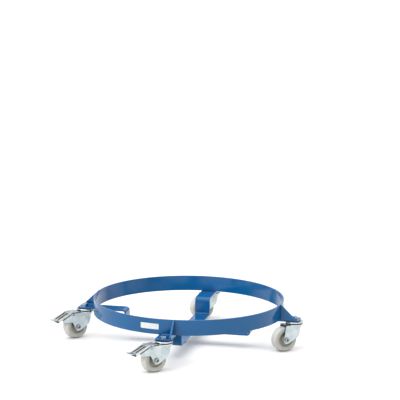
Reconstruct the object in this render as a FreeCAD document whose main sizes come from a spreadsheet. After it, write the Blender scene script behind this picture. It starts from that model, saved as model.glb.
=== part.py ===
import FreeCAD, Part
import math
import os
import Sketcher

# Drum trolley: a ring of flat bar on two crossed, cranked flat bars, carried by four swivel castors.
# Lengths are millimetres, angles are degrees. The origin is on the ring's axis in the plane of the
# bar tops, where the drum stands. +Z is up, +X runs along the right arm and -Y along the front arm.

SIZE_TABLE = (
    # ring
    ("ring_bore", 610, "inside diameter of the ring"),
    ("ring_wall", 5, "thickness of the ring's flat bar"),
    ("ring_height", 50, "height of the ring's flat bar"),
    ("ring_round", 0.8, "rounding of the ring's upper rim"),
    # crossed bars
    ("bar_width", 50, "width of a cross bar"),
    ("bar_thickness", 6, "thickness of a cross bar"),
    ("bend_radius", 6, "inside radius of the bar's bends"),
    ("recess_span", 408, "clear span of the low middle, step to step"),
    ("recess_depth", 55, "drop from the drum plane to the low middle"),
    ("arm_radius", 350, "ring axis to swivel axis"),
    ("tab_overhang", 18, "bar end beyond the swivel axis"),
    ("tab_round", 6, "corner radius of the bar ends"),
    # gussets and welds
    ("gusset_thickness", 6, "thickness of a gusset"),
    ("gusset_reach", 47, "length of a gusset, outward from the ring"),
    ("gusset_tip", 4, "height of a gusset at its outer end"),
    ("weld_leg", 4.5, "leg length of a weld bead"),
    ("weld_setback", 1, "bare length left between a bead's end and the next plate"),
    # label
    ("label_width", 62, "length of the label along the ring"),
    ("label_height", 18, "height of the label"),
    ("label_thickness", 0.4, "thickness of the label"),
    ("label_glue", 0.1, "glue line between the label and the ring"),
    ("label_rise", 16, "ring's lower rim to the label"),
    ("label_heading", 259.4, "direction of the label's middle from the ring's axis"),
    # wheel
    ("wheel_diameter", 80, "diameter of a wheel"),
    ("wheel_width", 30, "width of the tread"),
    ("wheel_round", 4, "rounding of the tread's edges"),
    ("wheel_rim", 15, "radial depth of the flat rim"),
    ("wheel_recess_slant", 3, "radial run of the slanted wall between the rim and the hub's recess"),
    ("wheel_web", 14, "thickness of the web in the hub's recess"),
    ("rim_round", 1, "rounding inside the rim and on the hub"),
    ("hub_diameter", 26, "diameter of the hub"),
    ("hub_play", 1.5, "gap between the hub and each fork leg"),
    ("trail", 38, "swivel axis to wheel axle, level"),
    # axle
    ("axle_diameter", 8, "diameter of the axle bolt"),
    ("axle_head_diameter", 15, "diameter of the axle bolt's round head"),
    ("axle_head", 4.5, "height of the axle bolt's head"),
    ("axle_head_round", 1.2, "rounding of the axle bolt's head"),
    ("axle_socket", 8, "socket in the axle bolt's head, across flats"),
    ("axle_socket_depth", 3.2, "depth of that socket"),
    ("axle_flats", 13, "axle nut, across flats"),
    ("axle_nut_height", 5, "height of the axle nut"),
    ("axle_play", 0.25, "gap around the axle bolt"),
    ("tube_wall", 2.25, "wall of the axle tube"),
    ("running_play", 0.08, "gap around a turning shaft"),
    ("bolt_tail", 1.5, "bolt end beyond its nut"),
    # fork
    ("fork_gap", 36, "clear width between the fork's legs"),
    ("fork_sheet", 2.5, "sheet thickness of the fork"),
    ("wheel_headroom", 4, "wheel top to the fork's underside"),
    ("fork_back", 39, "swivel axis to the back edge of the fork's top"),
    ("crown_radius", 28, "radius of the fork's round crown"),
    ("crown_lip", 1, "height of the lip around the ball track"),
    ("crown_lip_width", 3.2, "width of the lip around the ball track"),
    ("crown_flare", 12, "height over which the crown narrows to the legs"),
    ("knee_front", 3, "swivel axis forward to the knee of the leg's front edge"),
    ("knee_height", 46, "height of the knee of the leg's front edge"),
    ("knee_round", 16, "rounding of that knee"),
    ("foot_depth", 13.5, "axle to the lower end of a leg"),
    ("foot_front", 7, "axle to the front corner of a leg's lower end"),
    ("foot_back", 6, "axle to the back corner of a leg's lower end"),
    ("foot_round", 6, "rounding of the leg's lower corners"),
    ("heel_back", 11, "axle to the leg's back edge"),
    ("heel_drop", 3, "axle down to the leg's heel"),
    # swivel head
    ("head_radius", 29, "radius of the head plate"),
    ("head_sheet", 3, "sheet thickness of the head plate"),
    ("head_rim", 4.8, "height of the head plate's turned-down rim"),
    ("head_round", 2.5, "rounding of the head plate's shoulder"),
    ("upper_ball_gap", 6.5, "fork top to head plate, filled by the upper balls"),
    ("upper_ball_pitch", 19.5, "radius of the upper ball circle"),
    ("lower_ball_gap", 4, "king pin flange to fork, filled by the lower balls"),
    ("lower_ball_pitch", 13, "radius of the lower ball circle"),
    ("ball_play", 0.15, "gap around a ball"),
    ("pin_radius", 8, "radius of the king pin's shank"),
    ("pin_neck", 7, "radius of the king pin's neck in the head plate"),
    ("pin_flange", 16, "radius of the king pin's flange"),
    ("pin_flange_thickness", 2.5, "thickness of the king pin's flange"),
    ("pin_play", 0.3, "gap between the king pin and the fork"),
    # castor bolt
    ("bolt_diameter", 10, "diameter of a castor bolt"),
    ("bolt_flats", 17, "castor bolt and nut, across flats"),
    ("bolt_head", 6.4, "height of a castor bolt's head"),
    ("bolt_nut_height", 6, "height of a castor bolt's nut"),
    ("bolt_play", 0.4, "gap around a castor bolt"),
    ("washer_radius", 10.5, "radius of a castor bolt's washer"),
    ("washer_thickness", 2, "thickness of a castor bolt's washer"),
    # brake
    ("pedal_sheet", 2, "sheet thickness of the pedal"),
    ("pedal_lift", 4, "fork top to pedal top"),
    ("pedal_front_gap", 4, "head plate to the pedal's front end"),
    ("pedal_knee", 66, "swivel axis to the pedal's bend"),
    ("pedal_end", 112, "swivel axis to the end of the pedal"),
    ("pedal_slope", 25, "fall of the pedal behind its bend"),
    ("pedal_side_gap", 0.4, "gap between pedal and fork, each side"),
    ("pedal_flange", 13, "depth of the pedal's side flanges at the bend"),
    ("pedal_flange_end", 7, "depth of the pedal's side flanges at the end"),
    ("pedal_flange_gap", 8, "fork top to the front of the flanges"),
    ("pedal_round", 1.5, "rounding of the pedal's long edges"),
    ("slot_width", 7, "width of a slot in the pedal"),
    ("slot_spacing", 14, "middle to middle of the slots"),
    ("slot_margin", 4, "pedal bend or end to the slots, level"),
    ("tongue_width", 24, "width of the tongue behind the pedal"),
    ("tongue_length", 21, "length of the tongue behind the pedal, level"),
    ("tongue_rise", 2.5, "lift of the tongue's tip over the pedal's end"),
    ("pivot_back", 56, "swivel axis to the pedal's pin"),
    ("pivot_drop", 4, "fork top down to the pedal's pin"),
    ("pivot_radius", 2.5, "radius of the pedal's pin"),
    ("pivot_head", 4.5, "radius of the heads of the pedal's pin"),
    ("pivot_head_height", 1.8, "height of the heads of the pedal's pin"),
    ("pedal_travel", 12, "turn of the pedal from free to braked"),
    ("block_front", 63, "swivel axis to the front of the brake block"),
    ("block_back", 79, "swivel axis to the back of the brake block"),
    ("block_width", 28, "width of the brake block"),
    ("block_gap", 0.5, "brake block to tread when braked"),
    ("liner_thickness", 7.5, "thickness of the brake block's tail, which lines the pedal"),
    ("liner_end_gap", 1, "end of that tail to the end of the pedal, level"),
    # wings of a braked fork
    ("wing_shoulder", 62, "swivel axis to the back of the wing's level top"),
    ("wing_end", 97, "swivel axis to the back end of a wing"),
    ("wing_drop", 8, "pedal top down to the wing's edge"),
    ("wing_root", 61, "swivel axis to the front of the wing's lower edge"),
    ("wing_root_height", 57, "height of the front of the wing's lower edge"),
    ("wing_tail_height", 58, "height of the back of the wing's lower edge"),
    ("hem_depth", 8, "depth of the folded hem on a wing"),
    ("hem_thickness", 1.6, "thickness of the folded hem on a wing"),
    # headings of the castors, the way each one trails
    ("right_heading", 220, "right castor"),
    ("rear_heading", 220, "rear castor"),
    ("left_heading", 228, "left castor"),
    ("front_heading", 226, "front castor"),
    # one overrun for every cut
    ("overrun", 5, "how far a cut runs past the metal"),
)

UPPER_BALLS = 10
LOWER_BALLS = 12
HEX_SIDES = 6
FULL_TURN = 360
HALF_TURN = 180
BOTH_SIDES = (-1, 1)
CHAMFER_SLOPE = 30
NEARNESS = 1e-4

# How a bolt or nut lies: the plane of its hexagon, the plane of its side view, and whether that
# plane's upright axis points forward (1) or back (-1).
STANDING = ("XY_Plane", "XZ_Plane", 1)
LYING = ("XZ_Plane", "XY_Plane", -1)

# Each arm: its direction, the side of its gusset and whether its castor has a brake.
ARMS = (
    ("right", 0, -1, False),
    ("rear", 90, 1, False),
    ("left", 180, -1, True),
    ("front", 270, 1, True),
)

doc = FreeCAD.newDocument("drum_trolley")
sheet = doc.addObject("Spreadsheet::Sheet", "Sizes")
for row, (alias, number, meaning) in enumerate(SIZE_TABLE, start=1):
    sheet.set(f"A{row}", str(number))
    sheet.set(f"B{row}", meaning)
    sheet.setAlias(f"A{row}", alias)
doc.recompute()


class Size:
    """A length or angle that follows the sheet, kept as the text of an expression."""

    def __init__(self, text):
        self.text = str(text)

    def __str__(self):
        return self.text

    def __add__(self, other):
        return Size(f"({self} + {other})")

    def __radd__(self, other):
        return Size(f"({other} + {self})")

    def __sub__(self, other):
        return Size(f"({self} - {other})")

    def __rsub__(self, other):
        return Size(f"({other} - {self})")

    def __mul__(self, other):
        return Size(f"({self} * {other})")

    def __rmul__(self, other):
        return Size(f"({other} * {self})")

    def __truediv__(self, other):
        return Size(f"({self} / {other})")

    def __neg__(self):
        return Size(f"(0 - {self})")

    def value(self):
        """The number the expression has now."""
        result = sheet.evalExpression(self.text)
        return getattr(result, "Value", result)


class SheetSizes:
    """Gives each alias of the sheet as a Size."""

    def __init__(self):
        for alias, _, _ in SIZE_TABLE:
            setattr(self, alias, Size(f"Sizes.{alias}"))


def cosine(angle):
    return Size(f"cos({angle})")


def sine(angle):
    return Size(f"sin({angle})")


def tangent(angle):
    return Size(f"tan({angle})")


def arcsine(ratio):
    return Size(f"asin({ratio})")


dim = SheetSizes()
nought = Size(0)

# lengths worked out from the sheet: frame
ring_inner = dim.ring_bore / 2
ring_outer = ring_inner + dim.ring_wall
bar_half = dim.bar_width / 2
step_inner = dim.recess_span / 2
step_outer = step_inner + dim.bar_thickness
low_top = -dim.recess_depth
tab_end = dim.arm_radius + dim.tab_overhang
bend_outer = dim.bend_radius + dim.bar_thickness

# lengths worked out from the sheet: castor, heights measured up from the floor
wheel_radius = dim.wheel_diameter / 2
fork_under = dim.wheel_diameter + dim.wheel_headroom
fork_top = fork_under + dim.fork_sheet
crown_top = fork_top + dim.crown_lip
head_under = fork_top + dim.upper_ball_gap
castor_height = head_under + dim.head_sheet
floor_level = -(castor_height + dim.bar_thickness)
fork_inner = dim.fork_gap / 2
fork_outer = fork_inner + dim.fork_sheet
flange_top = fork_under - dim.lower_ball_gap
flange_under = flange_top - dim.pin_flange_thickness
bolt_hole = dim.bolt_diameter / 2 + dim.bolt_play
axle_hole = dim.axle_diameter / 2 + dim.axle_play
tube_outer = axle_hole + dim.tube_wall
hub_half = fork_inner - dim.hub_play
pedal_top = fork_top + dim.pedal_lift
pedal_half = fork_inner - dim.pedal_side_gap
pivot_height = fork_top - dim.pivot_drop


def new_body(label):
    body = doc.addObject("PartDesign::Body", label)
    body.Label = label
    return body


def new_sketch(body, plane, offset=None):
    """A sketch on one of the body's own planes, moved along the plane's normal by the offset."""
    sketch = body.newObject("Sketcher::SketchObject", f"{body.Label}_sketch")
    support = next(item for item in body.Origin.OriginFeatures if item.Role == plane)
    sketch.AttachmentSupport = [(support, "")]
    sketch.MapMode = "FlatFace"
    if offset is not None:
        sketch.setExpression("AttachmentOffset.Base.z", str(offset))
    return sketch


def fix_point(sketch, geometry, point, x, y):
    """Holds a point of the sketch at two distances from its origin."""
    for kind, size in (("DistanceX", x), ("DistanceY", y)):
        held = sketch.addConstraint(Sketcher.Constraint(kind, -1, 1, geometry, point, size.value()))
        sketch.setExpression(f"Constraints[{held}]", str(size))


def draw_outline(sketch, corners):
    """A closed outline of straight lines through the corners."""
    first = sketch.GeometryCount
    count = len(corners)
    spots = [FreeCAD.Vector(x.value(), y.value(), 0) for x, y in corners]
    for index in range(count):
        sketch.addGeometry(Part.LineSegment(spots[index], spots[(index + 1) % count]), False)
    for index in range(count):
        following = first + (index + 1) % count
        sketch.addConstraint(Sketcher.Constraint("Coincident", first + index, 2, following, 1))
    for index, (x, y) in enumerate(corners):
        fix_point(sketch, first + index, 1, x, y)


def draw_box(sketch, left, right, low, high):
    draw_outline(sketch, [(left, low), (right, low), (right, high), (left, high)])


def draw_circle(sketch, radius, x=nought, y=nought):
    middle = FreeCAD.Vector(x.value(), y.value(), 0)
    index = sketch.addGeometry(Part.Circle(middle, FreeCAD.Vector(0, 0, 1), radius.value()), False)
    fix_point(sketch, index, 3, x, y)
    held = sketch.addConstraint(Sketcher.Constraint("Radius", index, radius.value()))
    sketch.setExpression(f"Constraints[{held}]", str(radius))


def draw_hexagon(sketch, flats):
    corner = flats / Size("sqrt(3)")
    turns = [Size(FULL_TURN * side / HEX_SIDES) for side in range(HEX_SIDES)]
    draw_outline(sketch, [(corner * cosine(turn), corner * sine(turn)) for turn in turns])


def draw_channel(sketch, half_width, back):
    """An outline like a U on its side: round in front about the origin, straight sides to the back."""
    width, rear = half_width.value(), back.value()
    upper = sketch.addGeometry(
        Part.LineSegment(FreeCAD.Vector(rear, width, 0), FreeCAD.Vector(0, width, 0)), False)
    circle = Part.Circle(FreeCAD.Vector(0, 0, 0), FreeCAD.Vector(0, 0, 1), width)
    front = sketch.addGeometry(Part.ArcOfCircle(circle, math.pi / 2, math.pi * 3 / 2), False)
    lower = sketch.addGeometry(
        Part.LineSegment(FreeCAD.Vector(0, -width, 0), FreeCAD.Vector(rear, -width, 0)), False)
    end = sketch.addGeometry(
        Part.LineSegment(FreeCAD.Vector(rear, -width, 0), FreeCAD.Vector(rear, width, 0)), False)
    sketch.addConstraint(Sketcher.Constraint("Coincident", upper, 2, front, 1))
    sketch.addConstraint(Sketcher.Constraint("Coincident", front, 2, lower, 1))
    sketch.addConstraint(Sketcher.Constraint("Coincident", lower, 2, end, 1))
    sketch.addConstraint(Sketcher.Constraint("Coincident", end, 2, upper, 1))
    sketch.addConstraint(Sketcher.Constraint("Coincident", front, 3, -1, 1))
    fix_point(sketch, upper, 1, back, half_width)
    fix_point(sketch, lower, 2, back, -half_width)
    fix_point(sketch, upper, 2, nought, half_width)
    held = sketch.addConstraint(Sketcher.Constraint("DistanceX", -1, 1, lower, 1, 0))
    sketch.setExpression(f"Constraints[{held}]", str(nought))


def draw_slot(sketch, radius, front, back, y):
    """A round-ended slot along the first axis, between the middles of its two ends."""
    round_ends = []
    for x, start in ((front, math.pi / 2), (back, -math.pi / 2)):
        middle = FreeCAD.Vector(x.value(), y.value(), 0)
        circle = Part.Circle(middle, FreeCAD.Vector(0, 0, 1), radius.value())
        round_ends.append(sketch.addGeometry(Part.ArcOfCircle(circle, start, start + math.pi), False))
    edges = []
    for first, last, side in ((back, front, y + radius), (front, back, y - radius)):
        ends = [FreeCAD.Vector(x.value(), side.value(), 0) for x in (first, last)]
        edges.append(sketch.addGeometry(Part.LineSegment(*ends), False))
    loop = (edges[0], round_ends[0], edges[1], round_ends[1])
    for index, item in enumerate(loop):
        following = loop[(index + 1) % len(loop)]
        sketch.addConstraint(Sketcher.Constraint("Coincident", item, 2, following, 1))
    for item, x in zip(round_ends, (front, back)):
        fix_point(sketch, item, 3, x, y)
    fix_point(sketch, edges[0], 1, back, y + radius)
    fix_point(sketch, edges[0], 2, front, y + radius)
    for point, x in ((1, front), (2, back)):
        held = sketch.addConstraint(Sketcher.Constraint("DistanceX", -1, 1, edges[1], point, x.value()))
        sketch.setExpression(f"Constraints[{held}]", str(x))


def finish_feature(body, feature):
    """Makes the feature the body's result and works it out."""
    body.Tip = feature
    doc.recompute()
    return feature


def pad(body, sketch, length, both_ways=False, backward=False):
    feature = body.newObject("PartDesign::Pad", f"{body.Label}_pad")
    feature.Profile = sketch
    feature.SideType = "Symmetric" if both_ways else "One side"
    feature.Reversed = backward
    feature.setExpression("Length", str(length))
    return finish_feature(body, feature)


def pocket(body, sketch, length=None, both_ways=True, backward=False):
    """A straight cut: right through unless it has a length."""
    feature = body.newObject("PartDesign::Pocket", f"{body.Label}_pocket")
    feature.Profile = sketch
    feature.SideType = "Symmetric" if both_ways else "One side"
    feature.Reversed = backward
    if length is None:
        feature.Type = "ThroughAll"
    else:
        feature.setExpression("Length", str(length))
    return finish_feature(body, feature)


def revolve(body, sketch, angle=None):
    """Turns the sketch about its own vertical axis: a full turn, or half the angle to each side."""
    feature = body.newObject("PartDesign::Revolution", f"{body.Label}_revolution")
    feature.Profile = sketch
    feature.ReferenceAxis = (sketch, ["V_Axis"])
    if angle is None:
        feature.Angle = FULL_TURN
    else:
        feature.Midplane = True
        feature.setExpression("Angle", str(angle))
    return finish_feature(body, feature)


def groove(body, sketch):
    feature = body.newObject("PartDesign::Groove", f"{body.Label}_groove")
    feature.Profile = sketch
    feature.ReferenceAxis = (sketch, ["V_Axis"])
    feature.Angle = FULL_TURN
    return finish_feature(body, feature)


def round_edges(body, radius, names):
    base = body.Tip
    feature = body.newObject("PartDesign::Fillet", f"{body.Label}_fillet")
    feature.Base = (base, names)
    feature.setExpression("Radius", str(radius))
    return finish_feature(body, feature)


def straight_edges(body, direction, spots):
    """Names of the straight edges along the direction whose other two coordinates are at a spot."""
    axes = [axis for axis in "xyz" if axis != direction]
    places = [(first.value(), second.value()) for first, second in spots]
    names = []
    for index, edge in enumerate(body.Tip.Shape.Edges, start=1):
        ends = [vertex.Point for vertex in edge.Vertexes]
        for place in places:
            gaps = [abs(getattr(end, axis) - goal) for end in ends for axis, goal in zip(axes, place)]
            if len(ends) > 1 and max(gaps) < NEARNESS:
                names.append(f"Edge{index}")
                break
    return names


def round_rims(body, direction, spots):
    """Names of the whole circles about the direction that have a spot's radius and level."""
    places = [(radius.value(), level.value()) for radius, level in spots]
    names = []
    for index, edge in enumerate(body.Tip.Shape.Edges, start=1):
        if edge.Curve.TypeId != "Part::GeomCircle":
            continue
        level = getattr(edge.Curve.Center, direction)
        for radius, goal in places:
            if abs(edge.Curve.Radius - radius) < NEARNESS and abs(level - goal) < NEARNESS:
                names.append(f"Edge{index}")
                break
    return names


def place(item, x=nought, y=nought, z=nought, turn=nought):
    """Moves an object to a point and turns it about the upright axis."""
    item.setExpression("Placement.Base.x", str(x))
    item.setExpression("Placement.Base.y", str(y))
    item.setExpression("Placement.Base.z", str(z))
    item.setExpression("Placement.Rotation.Angle", str(turn))


sub_parts = []


def keep(item):
    """Lists an object as a sub-part to hand over."""
    sub_parts.append(item)
    return item


def gather(label, items):
    """One sub-part made of several loose solids."""
    group = doc.addObject("Part::Compound", label)
    group.Label = label
    group.Links = items
    doc.recompute()
    return keep(group)


def build_ring():
    body = keep(new_body("ring_band"))
    sketch = new_sketch(body, "XZ_Plane")
    draw_box(sketch, ring_inner, ring_outer, nought, dim.ring_height)
    revolve(body, sketch)
    rims = [(ring_inner, dim.ring_height), (ring_outer, dim.ring_height)]
    round_edges(body, dim.ring_round, round_rims(body, "z", rims))


def half_bar_corners(start):
    """One arm's side view: from the start out along the top, and back along the underside."""
    return [
        (start, low_top),
        (step_inner, low_top),
        (step_inner, nought),
        (tab_end, nought),
        (tab_end, -dim.bar_thickness),
        (step_outer, -dim.bar_thickness),
        (step_outer, low_top - dim.bar_thickness),
        (start, low_top - dim.bar_thickness),
    ]


def finish_bar(body, direction, sides):
    """Rounds the bends and the tab corners of a bar."""
    tight = [(step_inner, low_top), (step_outer, -dim.bar_thickness)]
    wide = [(step_inner, nought), (step_outer, low_top - dim.bar_thickness)]
    for radius, bends in ((dim.bend_radius, tight), (bend_outer, wide)):
        spots = [(side * x, z) for x, z in bends for side in sides]
        round_edges(body, radius, straight_edges(body, direction, spots))
    ends = [(side * tab_end, edge * bar_half) for side in sides for edge in BOTH_SIDES]
    if direction == "x":
        ends = [(across, along) for along, across in ends]
    round_edges(body, dim.tab_round, straight_edges(body, "z", ends))


def build_through_bar():
    body = keep(new_body("bar_front_rear"))
    sketch = new_sketch(body, "YZ_Plane")
    arm = half_bar_corners(nought)
    top, under = arm[1:4], arm[4:7]
    mirrored_top = [(-y, z) for y, z in reversed(top)]
    mirrored_under = [(-y, z) for y, z in reversed(under)]
    draw_outline(sketch, mirrored_top + top + under + mirrored_under)
    pad(body, sketch, dim.bar_width, both_ways=True)
    holes = new_sketch(body, "XY_Plane")
    for side in BOTH_SIDES:
        draw_circle(holes, bolt_hole, nought, side * dim.arm_radius)
    pocket(body, holes)
    finish_bar(body, "x", BOTH_SIDES)


def build_half_bar(name, direction):
    body = keep(new_body(f"bar_{name}"))
    sketch = new_sketch(body, "XZ_Plane")
    draw_outline(sketch, half_bar_corners(bar_half))
    pad(body, sketch, dim.bar_width, both_ways=True)
    hole = new_sketch(body, "XY_Plane")
    draw_circle(hole, bolt_hole, dim.arm_radius)
    pocket(body, hole)
    finish_bar(body, "y", (1,))
    place(body, turn=Size(direction))


def build_gusset(name, direction, side):
    """A triangular plate on one edge of an arm, its inner end fitted to the ring."""
    body = keep(new_body(f"gusset_{name}"))
    middle = side * (bar_half - dim.gusset_thickness / 2)
    sketch = new_sketch(body, "XZ_Plane", -middle)
    tip = ring_outer + dim.gusset_reach
    draw_outline(sketch, [
        (ring_inner, nought),
        (tip, nought),
        (tip, dim.gusset_tip),
        (ring_outer, dim.ring_height),
        (ring_inner, dim.ring_height),
    ])
    pad(body, sketch, dim.gusset_thickness, both_ways=True)
    ring_edge = new_sketch(body, "XY_Plane")
    draw_circle(ring_edge, ring_outer)
    pocket(body, ring_edge)
    place(body, turn=Size(direction))


def weld_bodies(name, direction, side):
    """Two beads of one arm: along the outside of the ring, and along the foot of the gusset."""
    inner_face = bar_half - dim.gusset_thickness
    clear = inner_face - dim.weld_setback
    ring_bead = new_body(f"ring_bead_{name}")
    sketch = new_sketch(ring_bead, "XZ_Plane")
    draw_outline(sketch, [
        (ring_outer, nought),
        (ring_outer + dim.weld_leg, nought),
        (ring_outer, dim.weld_leg),
    ])
    revolve(ring_bead, sketch, 2 * arcsine(clear / ring_outer))
    gusset_bead = new_body(f"gusset_bead_{name}")
    start = ring_outer + dim.weld_leg
    sketch = new_sketch(gusset_bead, "YZ_Plane", start)
    draw_outline(sketch, [
        (side * inner_face, nought),
        (side * (inner_face - dim.weld_leg), nought),
        (side * inner_face, dim.weld_leg),
    ])
    pad(gusset_bead, sketch, dim.gusset_reach - dim.weld_leg - dim.weld_setback)
    for bead in (ring_bead, gusset_bead):
        place(bead, turn=Size(direction))
    return [ring_bead, gusset_bead]


def build_label():
    body = keep(new_body("label_plate"))
    sketch = new_sketch(body, "XZ_Plane")
    back = ring_outer + dim.label_glue
    draw_box(sketch, back, back + dim.label_thickness, dim.label_rise, dim.label_rise + dim.label_height)
    revolve(body, sketch, dim.label_width / ring_outer * Size("(180 / pi)"))
    place(body, turn=dim.label_heading)


def cut_hex_corners(body, lie, flats, level, inward):
    """Turns the corners of a hexagon's end face down to a shallow cone."""
    _, side_plane, sign = lie
    inner = flats / 2
    outer = flats
    fall = (outer - inner) * tangent(CHAMFER_SLOPE)
    sketch = new_sketch(body, side_plane)
    far = level + inward * fall
    draw_outline(sketch, [(inner, sign * level), (outer, sign * level), (outer, sign * far)])
    groove(body, sketch)


def hex_bolt(label, lie, flats, head, diameter, length):
    """A bolt with the origin under its head: the head forward of it, the shank behind it."""
    body = keep(new_body(label))
    shape = new_sketch(body, lie[0])
    draw_hexagon(shape, flats)
    pad(body, shape, head)
    cut_hex_corners(body, lie, flats, head, -1)
    shank = new_sketch(body, lie[0])
    draw_circle(shank, diameter / 2)
    pad(body, shank, length, backward=True)
    return body


def socket_bolt(label, lie, head_diameter, head, diameter, length):
    """A bolt with a round head and a hexagon socket, the origin under its head as in a plain bolt."""
    body = keep(new_body(label))
    _, _, sign = lie
    shape = new_sketch(body, lie[0])
    draw_circle(shape, head_diameter / 2)
    pad(body, shape, head)
    axis = "z" if lie == STANDING else "y"
    round_edges(body, dim.axle_head_round, round_rims(body, axis, [(head_diameter / 2, sign * head)]))
    socket = new_sketch(body, lie[0], head)
    draw_hexagon(socket, dim.axle_socket)
    pocket(body, socket, dim.axle_socket_depth, both_ways=False)
    shank = new_sketch(body, lie[0])
    draw_circle(shank, diameter / 2)
    pad(body, shank, length, backward=True)
    return body


def hex_nut(label, lie, flats, height, hole):
    """A nut with the origin in the face it bears on, all of it behind that face."""
    body = keep(new_body(label))
    shape = new_sketch(body, lie[0])
    draw_hexagon(shape, flats)
    draw_circle(shape, hole)
    pad(body, shape, height, backward=True)
    cut_hex_corners(body, lie, flats, -height, 1)
    return body


def build_head(name):
    body = keep(new_body(f"{name}_castor_head"))
    sketch = new_sketch(body, "XZ_Plane")
    rim_inner = dim.head_radius - dim.head_sheet
    rim_low = castor_height - dim.head_rim
    hole = dim.pin_neck + dim.running_play
    draw_outline(sketch, [
        (hole, head_under),
        (rim_inner, head_under),
        (rim_inner, rim_low),
        (dim.head_radius, rim_low),
        (dim.head_radius, castor_height),
        (hole, castor_height),
    ])
    revolve(body, sketch)
    round_edges(body, dim.head_round, round_rims(body, "z", [(dim.head_radius, castor_height)]))
    return body


def build_king_pin(name):
    """A hollow rivet: a flange under the lower balls, a shank through the fork, a neck in the head."""
    body = keep(new_body(f"{name}_king_pin"))
    sketch = new_sketch(body, "XZ_Plane")
    draw_outline(sketch, [
        (bolt_hole, flange_under),
        (dim.pin_flange, flange_under),
        (dim.pin_flange, flange_top),
        (dim.pin_radius, flange_top),
        (dim.pin_radius, head_under),
        (dim.pin_neck, head_under),
        (dim.pin_neck, castor_height),
        (bolt_hole, castor_height),
    ])
    revolve(body, sketch)
    return body


def ball_row(name, count, radius, pitch, level):
    balls = []
    for index in range(count):
        ball = doc.addObject("Part::Sphere", f"{name}_ball")
        turn = Size(FULL_TURN * index / count)
        ball.setExpression("Radius", str(radius))
        place(ball, pitch * cosine(turn), pitch * sine(turn), level)
        balls.append(ball)
    return balls


def build_balls(name):
    upper_radius = dim.upper_ball_gap / 2 - dim.ball_play
    lower_radius = dim.lower_ball_gap / 2 - dim.ball_play
    upper_level = fork_top + dim.upper_ball_gap / 2
    lower_level = flange_top + dim.lower_ball_gap / 2
    upper = ball_row(name, UPPER_BALLS, upper_radius, dim.upper_ball_pitch, upper_level)
    lower = ball_row(name, LOWER_BALLS, lower_radius, dim.lower_ball_pitch, lower_level)
    return gather(f"{name}_swivel_balls", upper + lower)


def leg_corners():
    """Lower part of a leg's side view, from the front of the crown down and round to the heel."""
    foot = wheel_radius - dim.foot_depth
    return [
        (-dim.crown_radius, crown_top + dim.overrun),
        (-dim.crown_radius, fork_under),
        (-dim.knee_front, dim.knee_height),
        (dim.trail - dim.foot_front, foot),
        (dim.trail + dim.foot_back, foot),
        (dim.trail + dim.heel_back, wheel_radius - dim.heel_drop),
    ]


def pedal_level(x):
    """Height of the sloping pedal's top at a distance from the swivel axis."""
    return pedal_top - (x - dim.pedal_knee) * tangent(dim.pedal_slope)


def wing_level(x):
    return pedal_level(x) - dim.wing_drop


def wing_corners():
    """The part of a braked fork's side view that carries the pedal, from below to the top."""
    return [
        (dim.wing_root, dim.wing_root_height),
        (dim.wing_end, dim.wing_tail_height),
        (dim.wing_end, wing_level(dim.wing_end)),
        (dim.pedal_knee, wing_level(dim.pedal_knee)),
        (dim.wing_shoulder, fork_top),
        (dim.wing_shoulder, crown_top + dim.overrun),
    ]


def build_fork(name, braked):
    """A pressed fork: a block round in front, trimmed to the leg's side view and hollowed from below."""
    body = keep(new_body(f"{name}_fork"))
    foot = wheel_radius - dim.foot_depth
    back = dim.wing_end if braked else dim.trail + dim.heel_back
    shell = new_sketch(body, "XY_Plane", foot)
    draw_channel(shell, fork_outer, back)
    pad(body, shell, fork_top - foot)
    crown = new_sketch(body, "XZ_Plane")
    draw_outline(crown, [
        (nought, fork_under - dim.crown_flare),
        (fork_outer, fork_under - dim.crown_flare),
        (dim.crown_radius, fork_under),
        (dim.crown_radius, crown_top),
        (dim.crown_radius - dim.crown_lip_width, crown_top),
        (dim.crown_radius - dim.crown_lip_width, fork_top),
        (nought, fork_top),
    ])
    revolve(body, crown)
    side_view = new_sketch(body, "XZ_Plane")
    limit = castor_height + dim.overrun
    draw_box(side_view, -limit, back + limit, -dim.overrun, limit)
    top_corner = [(dim.fork_back, crown_top + dim.overrun)]
    draw_outline(side_view, leg_corners() + (wing_corners() if braked else top_corner))
    pocket(body, side_view)
    corners = leg_corners()
    round_edges(body, dim.foot_round, straight_edges(body, "y", corners[3:5]))
    round_edges(body, dim.knee_round, straight_edges(body, "y", corners[2:3]))
    hollow = new_sketch(body, "XY_Plane", fork_under)
    draw_channel(hollow, fork_inner, back + dim.overrun)
    pocket(body, hollow, fork_under, both_ways=False)
    king_hole = new_sketch(body, "XY_Plane")
    draw_circle(king_hole, dim.pin_radius + dim.pin_play)
    pocket(body, king_hole)
    if braked:
        pedal_gap = new_sketch(body, "XY_Plane")
        draw_box(pedal_gap, dim.fork_back, back + dim.overrun, -fork_inner, fork_inner)
        pocket(body, pedal_gap)
    holes = new_sketch(body, "XZ_Plane")
    draw_circle(holes, axle_hole, dim.trail, wheel_radius)
    if braked:
        draw_circle(holes, dim.pivot_radius + dim.running_play, dim.pivot_back, pivot_height)
    pocket(body, holes)
    if braked:
        for side in BOTH_SIDES:
            add_hem(body, side)
    return body


def add_hem(body, side):
    """A fold along the upper edge of one wing, on its outer face."""
    sketch = new_sketch(body, "XZ_Plane", -side * fork_outer)
    draw_outline(sketch, [
        (dim.pedal_knee, wing_level(dim.pedal_knee)),
        (dim.pedal_knee, wing_level(dim.pedal_knee) - dim.hem_depth),
        (dim.wing_end, wing_level(dim.wing_end) - dim.hem_depth),
        (dim.wing_end, wing_level(dim.wing_end)),
    ])
    pad(body, sketch, dim.hem_thickness, backward=side > 0)


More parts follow.
